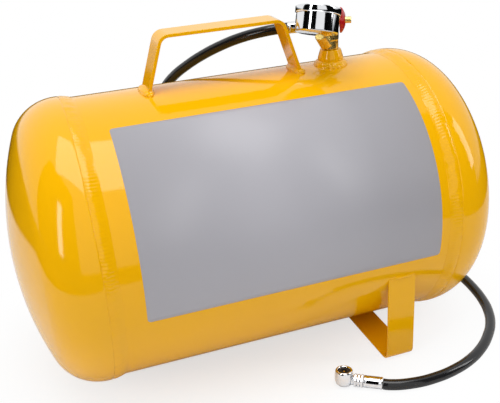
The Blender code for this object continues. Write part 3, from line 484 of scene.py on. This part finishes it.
# ---------------------------------------------------------------- bung
# Threaded steel boss for the manifold, tapered towards its top, welded into the shell and
# painted.
bung_low, bung_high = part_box("bung")
BUNG_X = (bung_low[0] + bung_high[0]) / 2
UPRIGHT = Matrix.Translation((BUNG_X, 0, CREST_Z))
BUNG_R, BUNG_TOP_R, BUNG_RISE, BUNG_TAPER, BUNG_BORE_R = 0.0115, 0.0095, 0.014, 0.0075, 0.0058
bm = bmesh.new()
turn(bm, [(BUNG_BORE_R, BUNG_RISE), (BUNG_TOP_R - 0.0006, BUNG_RISE),
          (BUNG_TOP_R - 0.0002, BUNG_RISE - 0.0002), (BUNG_TOP_R, BUNG_RISE - 0.0007),
          (BUNG_R - 0.0001, BUNG_RISE - BUNG_TAPER + 0.0004),
          (BUNG_R, BUNG_RISE - BUNG_TAPER - 0.0004), (BUNG_R, -0.0015), (BUNG_BORE_R, -0.0015)],
     72, closed=True)
finished("boss", bm, UPRIGHT, yellow, "tank", ["bung"])
bm = bmesh.new()
turn(bm, [(BUNG_R - 0.0010, 0.0043), (BUNG_R + 0.0008, 0.0041), (BUNG_R + 0.0022, 0.0031),
          (BUNG_R + 0.0034, 0.0016), (BUNG_R + 0.0042, 0.0002), (BUNG_R + 0.0044, -0.0014),
          (BUNG_R - 0.0010, -0.0014)], 240, closed=True)
for vert in bm.verts:
    a = math.atan2(vert.co.y, vert.co.x)
    if vert.co.xy.length > BUNG_R:
        vert.co.xy *= (1 + 0.012 * math.sin(a * 24 + vert.co.z * 900)
                       + 0.02 * noise.noise(vert.co * 260))
finished("boss_weld", bm, UPRIGHT, weld_paint, "tank", ["bung_weld"], 80)

# ---------------------------------------------------------------- manifold
# Cast brass body, screwed into the bung. A hexagon on a round neck carries four ports: the
# knob valve, the hose, the gauge and the relief valve.
VALVE_TURN, HOSE_TURN, HOSE_FALL, GAUGE_TURN, GAUGE_RISE, RELIEF_TURN = (
    -27.0, 155.0, -4.0, -132.6, 21.0, 75.0)
VALVE_RISE, HOSE_RISE, GAUGE_HEIGHT, RELIEF_RISE = 0.0395, 0.0368, 0.0335, 0.0400
PORT_R, PORT_REACH, VALVE_REACH = 0.0066, 0.0095, 0.0080
HEX_LOW = PORT_REACH + GAP
THREAD_R, THREAD_START, NUT_FLATS, VALVE_FLATS, BARB_R = 0.0040, 0.0062, 0.0110, 0.0120, 0.00264
LOBE_TURN, LOBE_R = -153, 0.0055


def along(turned, rise=0.0):
    """Direction turned about Z from +X and tipped up, in degrees."""
    a, e = math.radians(turned), math.radians(rise)
    return Vector((math.cos(a) * math.cos(e), math.sin(a) * math.cos(e), math.sin(e)))


def hub(height):
    """Point on the upright axis of the bung, above the crest of the shell."""
    return Vector((BUNG_X, 0, CREST_Z + height))


VALVE_AXES = axes(hub(VALVE_RISE), along(VALVE_TURN))
HOSE_AXES = axes(hub(HOSE_RISE), along(HOSE_TURN, HOSE_FALL))
STEM_AXES = axes(hub(GAUGE_HEIGHT), along(GAUGE_TURN, GAUGE_RISE))
RELIEF_AXES = axes(hub(RELIEF_RISE), along(RELIEF_TURN))


def round_bar(bm, radius, low, high, where, edge=0.0004, steps=48):
    """Adds a turned bar with broken edges, lying along the Z of its place."""
    part = bmesh.new()
    turn(part, [(0, low), (radius - edge, low), (radius, low + edge), (radius, high - edge),
                (radius - edge, high), (0, high)], steps)
    add_to(bm, part, where)


def add_to(bm, part, where):
    """Adds a part to a shape, at its place."""
    bmesh.ops.remove_doubles(part, verts=part.verts, dist=1e-6)
    bmesh.ops.recalc_face_normals(part, faces=part.faces)
    bmesh.ops.transform(part, matrix=where, verts=part.verts)
    mesh = bpy.data.meshes.new("part")
    part.to_mesh(mesh)
    part.free()
    bm.from_mesh(mesh)
    bpy.data.meshes.remove(mesh)


def hex_bar(bm, flats, low, high, where, turned=0.0, edge=0.0003):
    """Adds a hexagonal bar, measured across its flats, with its corners turned back."""
    part = bmesh.new()
    radius = flats / math.sqrt(3)
    bmesh.ops.create_cone(part, cap_ends=True, segments=6, radius1=radius, radius2=radius,
                          depth=high - low)
    bmesh.ops.bevel(part, geom=part.edges[:], offset=edge, segments=2, profile=0.5,
                    affect="EDGES", material=-1)
    bmesh.ops.rotate(part, verts=part.verts, matrix=Matrix.Rotation(math.radians(turned), 3, "Z"))
    bmesh.ops.translate(part, verts=part.verts, vec=(0, 0, (low + high) / 2))
    add_to(bm, part, where)


def brass_finish(name, rough, grain_size, depth):
    """Yellow brass: clean metal with a faint tarnish that lies in patches."""
    made = Finish(name, (0.84, 0.65, 0.22), rough, 1.0)
    patch = made.grain(90, 4)
    made.set(Base_Color=made.blend(patch, (0.78, 0.57, 0.16, 1), (0.91, 0.73, 0.28, 1)),
             Roughness=made.grain(240, 3) * 0.14 + (rough - 0.07))
    made.bump(made.grain(grain_size, 3), 0.0002, depth)
    return made


cast_brass = brass_finish("cast_brass", 0.27, 700, 0.30)
brass = brass_finish("turned_brass", 0.20, 1400, 0.08)
bm = bmesh.new()
round_bar(bm, 0.0072, BUNG_RISE + GAP, 0.0245, UPRIGHT)
round_bar(bm, 0.0055, 0.003, BUNG_RISE + 0.002, UPRIGHT)
hex_bar(bm, 0.0150, 0.0225, 0.0470, UPRIGHT, VALVE_TURN, 0.0005)
round_bar(bm, PORT_R, 0, VALVE_REACH, VALVE_AXES)
for port in (HOSE_AXES, STEM_AXES, RELIEF_AXES):
    round_bar(bm, PORT_R, 0, PORT_REACH, port)
lobe_foot = hub(0.0182) + along(LOBE_TURN) * 0.0057
lobe_head = hub(0.0290) + along(LOBE_TURN) * 0.0139
round_bar(bm, LOBE_R, 0, (lobe_head - lobe_foot).length, axes(lobe_foot, lobe_head - lobe_foot))
manifold = finished("cast_manifold", bm, Matrix.Identity(4), cast_brass, "tank",
                    ["manifold_body"])
skin = manifold.modifiers.new("One skin", "REMESH")
skin.mode, skin.voxel_size, skin.use_smooth_shade = "VOXEL", 0.0004, True
soften = manifold.modifiers.new("Cast fillets", "SMOOTH")
soften.factor, soften.iterations = 0.5, 3

# ---------------------------------------------------------------- gauge case
# Drawn steel case, chrome plated, with a rolled bezel over its front. The stem enters from
# below through the rim.
joints = {joint["name"]: joint for joint in frame["record"]["behaviour"]["joints"]}
GAUGE_CENTRE = Vector(joints["gauge_needle"]["pos_m"])
DIAL_OUT = -Vector(joints["gauge_needle"]["axis"])
GAUGE_AXES = axes(GAUGE_CENTRE, DIAL_OUT)
DOWN_STEM = axes(GAUGE_CENTRE, -along(GAUGE_TURN, GAUGE_RISE))
CASE_R, CASE_BACK, CASE_FRONT, CASE_WALL = 0.0187, -0.0110, 0.0058, 0.0010
BEZEL_R, BEZEL_WALL, BEZEL_START, BEZEL_FRONT, LIP_R = 0.01975, 0.00075, 0.0046, 0.0108, 0.0168
chrome = Finish("bright_chrome", (0.78, 0.79, 0.81), 0.07, 1.0)
smear = chrome.grain(130, 4)
chrome.set(Base_Color=chrome.blend(smear, (0.74, 0.75, 0.77, 1), (0.83, 0.84, 0.86, 1)),
           Roughness=smear * 0.08 + 0.03)
chrome.bump(chrome.grain(50, 2), 0.0003, 0.05)
bm = bmesh.new()
inner_r = CASE_R - CASE_WALL
turn(bm, [(0, CASE_BACK + CASE_WALL), (inner_r, CASE_BACK + CASE_WALL), (inner_r, CASE_FRONT),
          (CASE_R - 0.0002, CASE_FRONT), (CASE_R, CASE_FRONT - 0.0002)]
     + arc((CASE_R - 0.0015, CASE_BACK + 0.0015), 0.0015, 0, -90, 8) + [(0, CASE_BACK)], 120)
finished("drawn_case", bm, GAUGE_AXES, chrome, "tank", ["gauge_case"])
bm = bmesh.new()
bezel_in = BEZEL_R - BEZEL_WALL
lip_under = BEZEL_FRONT - 0.0012
turn(bm, [(LIP_R, BEZEL_FRONT - 0.0003), (LIP_R + 0.0003, BEZEL_FRONT)]
     + arc((BEZEL_R - 0.0010, BEZEL_FRONT - 0.0010), 0.0010, 90, 0, 6)
     + [(BEZEL_R, BEZEL_START + 0.0012), (BEZEL_R - 0.0002, BEZEL_START + 0.0009),
        (BEZEL_R - 0.0002, BEZEL_START + 0.0006), (BEZEL_R, BEZEL_START + 0.0003),
        (BEZEL_R - 0.0002, BEZEL_START), (bezel_in, BEZEL_START), (bezel_in, lip_under),
        (LIP_R, lip_under)], 120, closed=True)
finished("rolled_bezel", bm, GAUGE_AXES, chrome, "tank", ["gauge_bezel"])

# ---------------------------------------------------------------- dial and window
# White enamelled dial with an outer black scale and an inner red one, behind a clear window.
DIAL_THICK = 0.0006
DIAL_TOP = CASE_FRONT + GAP + DIAL_THICK
DIAL_R = bezel_in - GAP
enamel_white = Finish("dial_enamel", (0.86, 0.86, 0.83), 0.45)
enamel_white.set(Base_Color=enamel_white.blend(enamel_white.grain(160, 3), (0.84, 0.84, 0.81, 1),
                                               (0.89, 0.89, 0.87, 1)))
bm = bmesh.new()
turn(bm, [(DIAL_R, DIAL_TOP), (DIAL_R, DIAL_TOP - DIAL_THICK), (0.0012, DIAL_TOP - DIAL_THICK),
          (0.0012, DIAL_TOP)], 120, closed=True)
finished("dial_plate", bm, GAUGE_AXES, enamel_white, "tank", ["gauge_dial"])
black_ink = Finish("black_ink", (0.015, 0.015, 0.015), 0.5)
black_ink.set(Roughness=black_ink.grain(800, 2) * 0.2 + 0.4)
red_ink = Finish("red_ink", (0.55, 0.012, 0.012), 0.5)
red_ink.set(Roughness=red_ink.grain(800, 2) * 0.2 + 0.4)


def scale_ring(name, ink, radius, marks, numbers, size, long_every):
    """Printed scale: a ring of marks over 270 degrees, with its numbers inside them."""
    ink_thick, line_width, zero, sweep = 0.00003, 0.00022, 225, 270
    bm = bmesh.new()
    turn(bm, [(radius, ink_thick), (radius, 0.0), (radius - line_width, 0.0),
              (radius - line_width, ink_thick)], 120, closed=True)
    for i in range(marks + 1):
        angle = math.radians(zero - sweep * i / marks)
        length = 0.0012 if i % long_every == 0 else 0.0007
        tick = bmesh.new()
        bmesh.ops.create_cube(tick, size=1)
        bmesh.ops.scale(tick, verts=tick.verts, vec=(length, 0.00028, ink_thick))
        add_to(bm, tick, Matrix.Rotation(angle, 4, "Z")
               @ Matrix.Translation((radius - length / 2, 0, ink_thick / 2)))
    for i, number in enumerate(numbers):
        angle = math.radians(zero - sweep * i / (len(numbers) - 1))
        words = bpy.data.curves.new(name, "FONT")
        words.body, words.size, words.extrude = str(number), size, 0.00001
        words.align_x, words.align_y = "CENTER", "CENTER"
        words.resolution_u, words.offset = 3, 0.00004
        holder = bpy.data.objects.new(name, words)
        part = bmesh.new()
        part.from_mesh(holder.to_mesh())
        holder.to_mesh_clear()
        bpy.data.objects.remove(holder)
        reach = radius - 0.0013 - size * 0.55
        add_to(bm, part, Matrix.Translation((reach * math.cos(angle), reach * math.sin(angle),
                                             ink_thick / 2)))
    place = GAUGE_AXES @ Matrix.Translation((0, 0, DIAL_TOP + 0.00004))
    return finished(name, bm, place, ink, "tank")


scale_ring("outer_scale", black_ink, 0.0160, 40, range(0, 201, 40), 0.0034, 4)
scale_ring("inner_scale", red_ink, 0.0098, 28, range(0, 15, 2), 0.0021, 4)
glass = Finish("clear_window", (0.96, 0.98, 0.98), 0.03, Transmission_Weight=1.0, IOR=1.45)
glass.set(Roughness=glass.grain(90, 3) * 0.04 + 0.01)
bm = bmesh.new()
window_top = lip_under - GAP
turn(bm, [(0, window_top), (DIAL_R - 0.0002, window_top), (DIAL_R, window_top - 0.0002),
          (DIAL_R, window_top - 0.0010), (0, window_top - 0.0010)], 120)
finished("window", bm, GAUGE_AXES, glass, "tank", ["gauge_lens"])

# ---------------------------------------------------------------- gauge stem
# Brass socket of the gauge: a round neck into the case and a hexagon for the spanner.
bm = bmesh.new()
round_bar(bm, 0.0042, 0.0095, 0.0210, DOWN_STEM)
hex_bar(bm, VALVE_FLATS, 0.0199, 0.0272, DOWN_STEM, edge=0.0004)
round_bar(bm, THREAD_R, 0.0262, 0.0308, DOWN_STEM)
finished("gauge_stem", bm, Matrix.Identity(4), brass, "tank", ["gauge_socket"])

# ---------------------------------------------------------------- valve bonnet and spindle
# Turned brass gland nut, and the brass spindle that turns in it. Its outer end is bored for the
# fill valve.
bm = bmesh.new()
hex_bar(bm, NUT_FLATS, VALVE_REACH + GAP, 0.0102, VALVE_AXES)
round_bar(bm, 0.0029, 0.0058, 0.0090, VALVE_AXES)
finished("gland_nut", bm, Matrix.Identity(4), brass, "tank", ["valve_bonnet"])
bm = bmesh.new()
turn(bm, [(0, 0.0133), (0.0019, 0.0133), (0.0019, 0.0186), (0.0021, 0.0188), (0.0025, 0.0188),
          (0.0029, 0.0184), (0.0029, 0.0178), (0.0027, 0.0176), (0.0029, 0.0174),
          (0.0029, 0.0168), (0.0027, 0.0166), (0.0029, 0.0164), (0.0029, 0.0158),
          (0.0027, 0.0156), (0.0029, 0.0154), (0.0029, 0.0105), (0.0022, 0.0105),
          (0.0022, 0.0052), (0.0010, 0.0052), (0.0010, 0.0002), (0.0008, 0), (0, 0)], 64)
finished("turned_spindle", bm, VALVE_AXES, brass, "valve_spindle", ["valve_spindle"])

# ---------------------------------------------------------------- knob
# Moulded red plastic knob, pressed on the spindle: a low dome with a rolled rim, scalloped in
# eight lobes for the fingers.
knob_red = Finish("red_knob_plastic", (0.42, 0.006, 0.008), 0.22, Specular_IOR_Level=0.3)
cloud = knob_red.grain(170, 3)
knob_red.set(Base_Color=knob_red.blend(cloud, (0.40, 0.005, 0.007, 1), (0.47, 0.008, 0.010, 1)),
             Roughness=cloud * 0.16 + 0.15)
knob_red.bump(knob_red.grain(900, 3), 0.0001, 0.15)
bm = bmesh.new()
turn(bm, [(0.0032, 0.0105), (0.0032, 0.0134), (0.0034, 0.0136), (0.0046, 0.0136),
          (0.0052, 0.0134), (0.0070, 0.0128), (0.0088, 0.0119), (0.0100, 0.0112),
          (0.0108, 0.0107), (0.0113, 0.0100), (0.0114, 0.0093), (0.0112, 0.0089),
          (0.0108, 0.0087), (0.0097, 0.0087), (0.0096, 0.0089), (0.0096, 0.0105)], 180,
     closed=True)
LOBES, LOBES_FROM, LOBES_FULL, LOBE_DEPTH = 8, 0.0080, 0.0110, 0.075
for vert in bm.verts:
    reach = vert.co.xy.length
    if reach > LOBES_FROM:
        a = math.atan2(vert.co.y, vert.co.x)
        share = min(1.0, (reach - LOBES_FROM) / (LOBES_FULL - LOBES_FROM))
        vert.co.xy *= 1 - LOBE_DEPTH * share * (0.5 - 0.5 * math.cos(a * LOBES)) ** 2
finished("grip_knob", bm, VALVE_AXES, knob_red, "valve_spindle", ["control_knob"], 60)

# ---------------------------------------------------------------- relief valve
# Brass safety valve on the far side: a hexagon, a round body, a cap crimped on, and a ring
# of bright wire through the eye of its stem.
bm = bmesh.new()
hex_bar(bm, VALVE_FLATS, HEX_LOW, 0.0158, RELIEF_AXES, edge=0.0004)
round_bar(bm, THREAD_R, THREAD_START, 0.0110, RELIEF_AXES)
sleeve = bmesh.new()
turn(sleeve, [(0.0054, 0.0150), (0.0054, 0.0263), (0.0052, 0.0265), (0.0034, 0.0265),
              (0.0034, 0.0140), (0.0054, 0.0140)], 64, closed=True)
add_to(bm, sleeve, RELIEF_AXES)
finished("relief_body", bm, Matrix.Identity(4), brass, "tank", ["relief_valve_body"])
bm = bmesh.new()
turn(bm, [(0.0013, 0.0235), (0.0031, 0.0235), (0.0031, 0.0268), (0.0054, 0.0268),
          (0.0054, 0.0277), (0.0052, 0.0281), (0.0047, 0.0283), (0.0013, 0.0283)], 64,
     closed=True)
finished("crimped_cap", bm, RELIEF_AXES, brass, "tank", ["relief_cap"])
eye = hub(RELIEF_RISE) + along(RELIEF_TURN) * 0.0315
ring = bmesh.new()
WIRE_R, RING_R = 0.0008, 0.0080
turn(ring, [(RING_R + x, y) for x, y in arc((0, 0), WIRE_R, 0, 360, 16)[:-1]], 96, closed=True)
steel = Finish("bright_wire", (0.55, 0.55, 0.56), 0.25, 1.0)
steel.set(Roughness=steel.grain(500, 3) * 0.2 + 0.15)
steel.bump(steel.grain(900, 2), 0.0001, 0.1)
finished("split_ring", ring, axes(eye, along(RELIEF_TURN)) @ Matrix.Translation((0, -RING_R, 0)),
         steel, "relief_pull_ring", ["relief_pull_ring"])

# ---------------------------------------------------------------- hose fitting and ferrules
# Brass fitting with a spanner hexagon, and two plated steel ferrules crimped on the hose.
bm = bmesh.new()
hex_bar(bm, NUT_FLATS, HEX_LOW, 0.0188, HOSE_AXES, edge=0.0004)
round_bar(bm, THREAD_R, THREAD_START, 0.0110, HOSE_AXES)
round_bar(bm, BARB_R, 0.0180, 0.0376, HOSE_AXES)
finished("hose_nut", bm, Matrix.Identity(4), brass, "tank", ["hose_fitting"])


def crimped(name, start, length, where, node):
    """Plated sleeve pressed to eight shallow flats, with a groove crimped near each end."""
    sleeve_r, groove, lip, steps = 0.0054, 0.00016, 0.0004, 36
    bm = bmesh.new()
    profile = [(0.0030, start), (0.0048, start), (0.0053, start + lip)]
    for i in range(1, steps):
        share = i / steps
        dent = groove if 0.10 < share < 0.16 or 0.84 < share < 0.90 else 0.0
        profile.append((sleeve_r - dent, start + lip + (length - 2 * lip) * share))
    profile += [(0.0053, start + length - lip), (0.0049, start + length), (0.0030, start + length)]
    turn(bm, profile, 96, closed=True)
    for vert in bm.verts:
        if vert.co.xy.length > 0.0045:
            a = math.atan2(vert.co.y, vert.co.x)
            pressed = 0.024 if 0.15 < (vert.co.z - start) / length < 0.85 else 0.0
            vert.co.xy *= 1 - pressed * abs(math.sin(a * 4))
    return finished(name, bm, where, chrome, "tank", [node], 50)


crimped("crimped_sleeve_tank", 0.0191, 0.0190, HOSE_AXES, "hose_ferrule_tank")
CHUCK_TURN = 146.0
hose_end = Vector(HOSE_POINTS[-1])
sleeve_start = Vector((hose_end.x, hose_end.y, 0.0057)) + along(CHUCK_TURN) * GAP
CHUCK_AXES = axes(sleeve_start, along(CHUCK_TURN))
sleeve = crimped("crimped_sleeve_chuck", 0.0, 0.0168, CHUCK_AXES, "hose_ferrule_chuck")

# ---------------------------------------------------------------- tyre chuck
# Plated brass chuck: a nut with two grooves, a short neck, and a round head whose mouth holds a
# rubber seal and the pin that opens the tyre's valve.
HEAD_REACH, HEAD_HEIGHT, HEAD_TILT = 0.0344, 0.0078, 84
bm = bmesh.new()
for low in (0.0171, 0.0200, 0.0229):
    hex_bar(bm, NUT_FLATS, low, low + 0.0022, CHUCK_AXES, edge=0.0004)
round_bar(bm, 0.0044, 0.0175, 0.0247, CHUCK_AXES)
round_bar(bm, BARB_R, 0.0005, 0.0181, CHUCK_AXES)
nut = finished("grooved_nut", bm, Matrix.Identity(4), chrome, "tank", ["chuck_nipple"])
middle = hose_end + along(CHUCK_TURN) * HEAD_REACH
middle.z = HEAD_HEIGHT
HEAD_AXES = axes(middle, along(CHUCK_TURN - 90, HEAD_TILT))
bm = bmesh.new()
round_bar(bm, 0.0042, 0.0254, 0.0319, CHUCK_AXES)
ball = bmesh.new()
turn(ball, [(0.0055, 0.0030), (0.0055, 0.0066), (0.0060, 0.0074), (0.0066, 0.0075),
            (0.0072, 0.0073), (0.0076, 0.0066), (0.0078, 0.0056), (0.0081, 0.0040),
            (0.0082, 0.0020), (0.0081, -0.0010), (0.0078, -0.0034), (0.0070, -0.0054),
            (0.0056, -0.0068), (0.0036, -0.0074), (0, -0.0075), (0, -0.0023),
            (0.0020, -0.0023), (0.0020, 0.0030)], 96, closed=True)
add_to(bm, ball, HEAD_AXES)
ball_head = finished("ball_head", bm, Matrix.Identity(4), chrome, "tank",
                     ["chuck_head"], 50)
seal_rubber = Finish("seal_rubber", (0.014, 0.014, 0.015), 0.55)
seal_rubber.set(Roughness=seal_rubber.grain(700, 3) * 0.2 + 0.45)
seal_rubber.bump(seal_rubber.grain(1200, 3), 0.0001, 0.3)
bm = bmesh.new()
turn(bm, [(0.0024, 0.0040), (0.0026, 0.0065), (0.0030, 0.0067), (0.0048, 0.0067),
          (0.0052, 0.0064), (0.0052, 0.0037), (0.0024, 0.0037)], 64, closed=True)
seal = finished("mouth_seal", bm, HEAD_AXES, seal_rubber, "tank", ["chuck_seal"])

# ---------------------------------------------------------------- rating label
# Plain silver-grey foil label with rounded corners, stuck on the front of the shell.
LABEL_LEFT, LABEL_RIGHT, LABEL_TOP, LABEL_BOTTOM = -0.1256, 0.1353, 114.3, 191.0
LABEL_CORNER, LABEL_STRIPS, FILM = 0.003, 60, 0.0001
foil = Finish("label_foil", (0.42, 0.41, 0.44), 0.34, Specular_IOR_Level=0.3)
foil.set(Roughness=foil.grain(300, 3) * 0.10 + 0.32)
foil.bump(foil.grain(500, 3), 0.0001, 0.08)
reach = SHELL_R + FILM
arc_length = math.radians(LABEL_BOTTOM - LABEL_TOP) * reach
bm = bmesh.new()
bmesh.ops.create_grid(bm, x_segments=1, y_segments=1, size=0.5)
bmesh.ops.scale(bm, verts=bm.verts, vec=(LABEL_RIGHT - LABEL_LEFT, arc_length, 1))
bmesh.ops.translate(bm, verts=bm.verts, vec=((LABEL_LEFT + LABEL_RIGHT) / 2, arc_length / 2, 0))
bmesh.ops.bevel(bm, geom=bm.verts[:], offset=LABEL_CORNER, offset_type="OFFSET", segments=6,
                profile=0.5, affect="VERTICES", material=-1)
for i in range(1, LABEL_STRIPS):
    bmesh.ops.bisect_plane(bm, geom=bm.verts[:] + bm.edges[:] + bm.faces[:], dist=1e-7,
                           plane_co=(0, arc_length * i / LABEL_STRIPS, 0), plane_no=(0, 1, 0))
for vert in bm.verts:
    a = math.radians(LABEL_TOP) + vert.co.y / reach
    vert.co = (vert.co.x, reach * math.cos(a), AXIS_Z + reach * math.sin(a))
mesh = bpy.data.meshes.new("foil_label")
bm.to_mesh(mesh)
bm.free()
mesh.shade_smooth()
mesh.materials.append(foil.material)
label = bpy.data.objects.new("foil_label", mesh)
scene.collection.objects.link(label)
film = label.modifiers.new("Film", "SOLIDIFY")
film.thickness, film.offset = FILM, 1
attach(label, "tank")

# ---------------------------------------------------------------- small parts inside
# The pieces that the frame already holds in their right shape take a finish of their own.
for nodes, finish in ((["gauge_movement", "bourdon_tube", "valve_plug", "fill_valve_pin",
                        "relief_stem", "chuck_pin"], brass),
                      (["fill_valve_core", "relief_spring"], steel),
                      (["gauge_pointer"], black_ink)):
    for node in nodes:
        mesh = frame["nodes"][node].data
        mesh.materials.clear()
        mesh.materials.append(finish.material)
